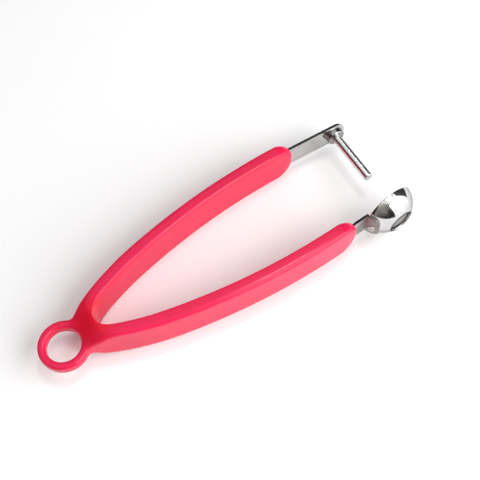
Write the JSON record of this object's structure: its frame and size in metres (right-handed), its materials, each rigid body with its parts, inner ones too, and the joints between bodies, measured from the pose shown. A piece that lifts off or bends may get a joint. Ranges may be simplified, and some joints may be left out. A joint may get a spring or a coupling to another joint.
{
  "type": "cherry pitter",
  "caption": "Spring tong with moulded grips and a hanging ring: a steel punch on one blade pushes a cherry's stone through the holed cup on the other.",
  "frame": {"origin": "centre of the hole of the hanging ring, at half its height", "axes": "+X along the tool from the ring to the head, +Y from the cup arm to the punch arm, +Z along the width of the blades, up as the tool lies on its side"},
  "size_m": [0.171, 0.0595, 0.025],
  "materials": {
    "grip_plastic": "satin, pink-red moulded plastic",
    "strip_steel": "satin rolled stainless strip",
    "polished_steel": "mirror polished"
  },
  "bodies": {
    "yoke": {"ring_yoke": "grip_plastic", "spring_bow": "strip_steel"},
    "upper_arm": {"upper_grip": "grip_plastic", "upper_blade": "strip_steel", "punch_collar": "polished_steel", "punch_pin": "polished_steel"},
    "lower_arm": {"lower_grip": "grip_plastic", "lower_blade": "strip_steel", "pit_cup": "polished_steel", "cup_rivet": "polished_steel"}
  },
  "joints": [
    {"name": "upper_squeeze", "type": "hinge", "parent": "yoke", "child": "upper_arm", "pos_m": [0.01792, 0.00849, 0], "axis": [0, 0, -1], "range_deg": [0, 8], "stiffness_Nm_per_rad": 8.5},
    {"name": "lower_squeeze", "type": "hinge", "parent": "yoke", "child": "lower_arm", "pos_m": [0.01792, -0.00849, 0], "axis": [0, 0, 1], "range_deg": [0, 8], "stiffness_Nm_per_rad": 8.5}
  ],
  "couplings": [
    {"joint": "lower_squeeze", "follows": "upper_squeeze", "ratio": 1}
  ]
}
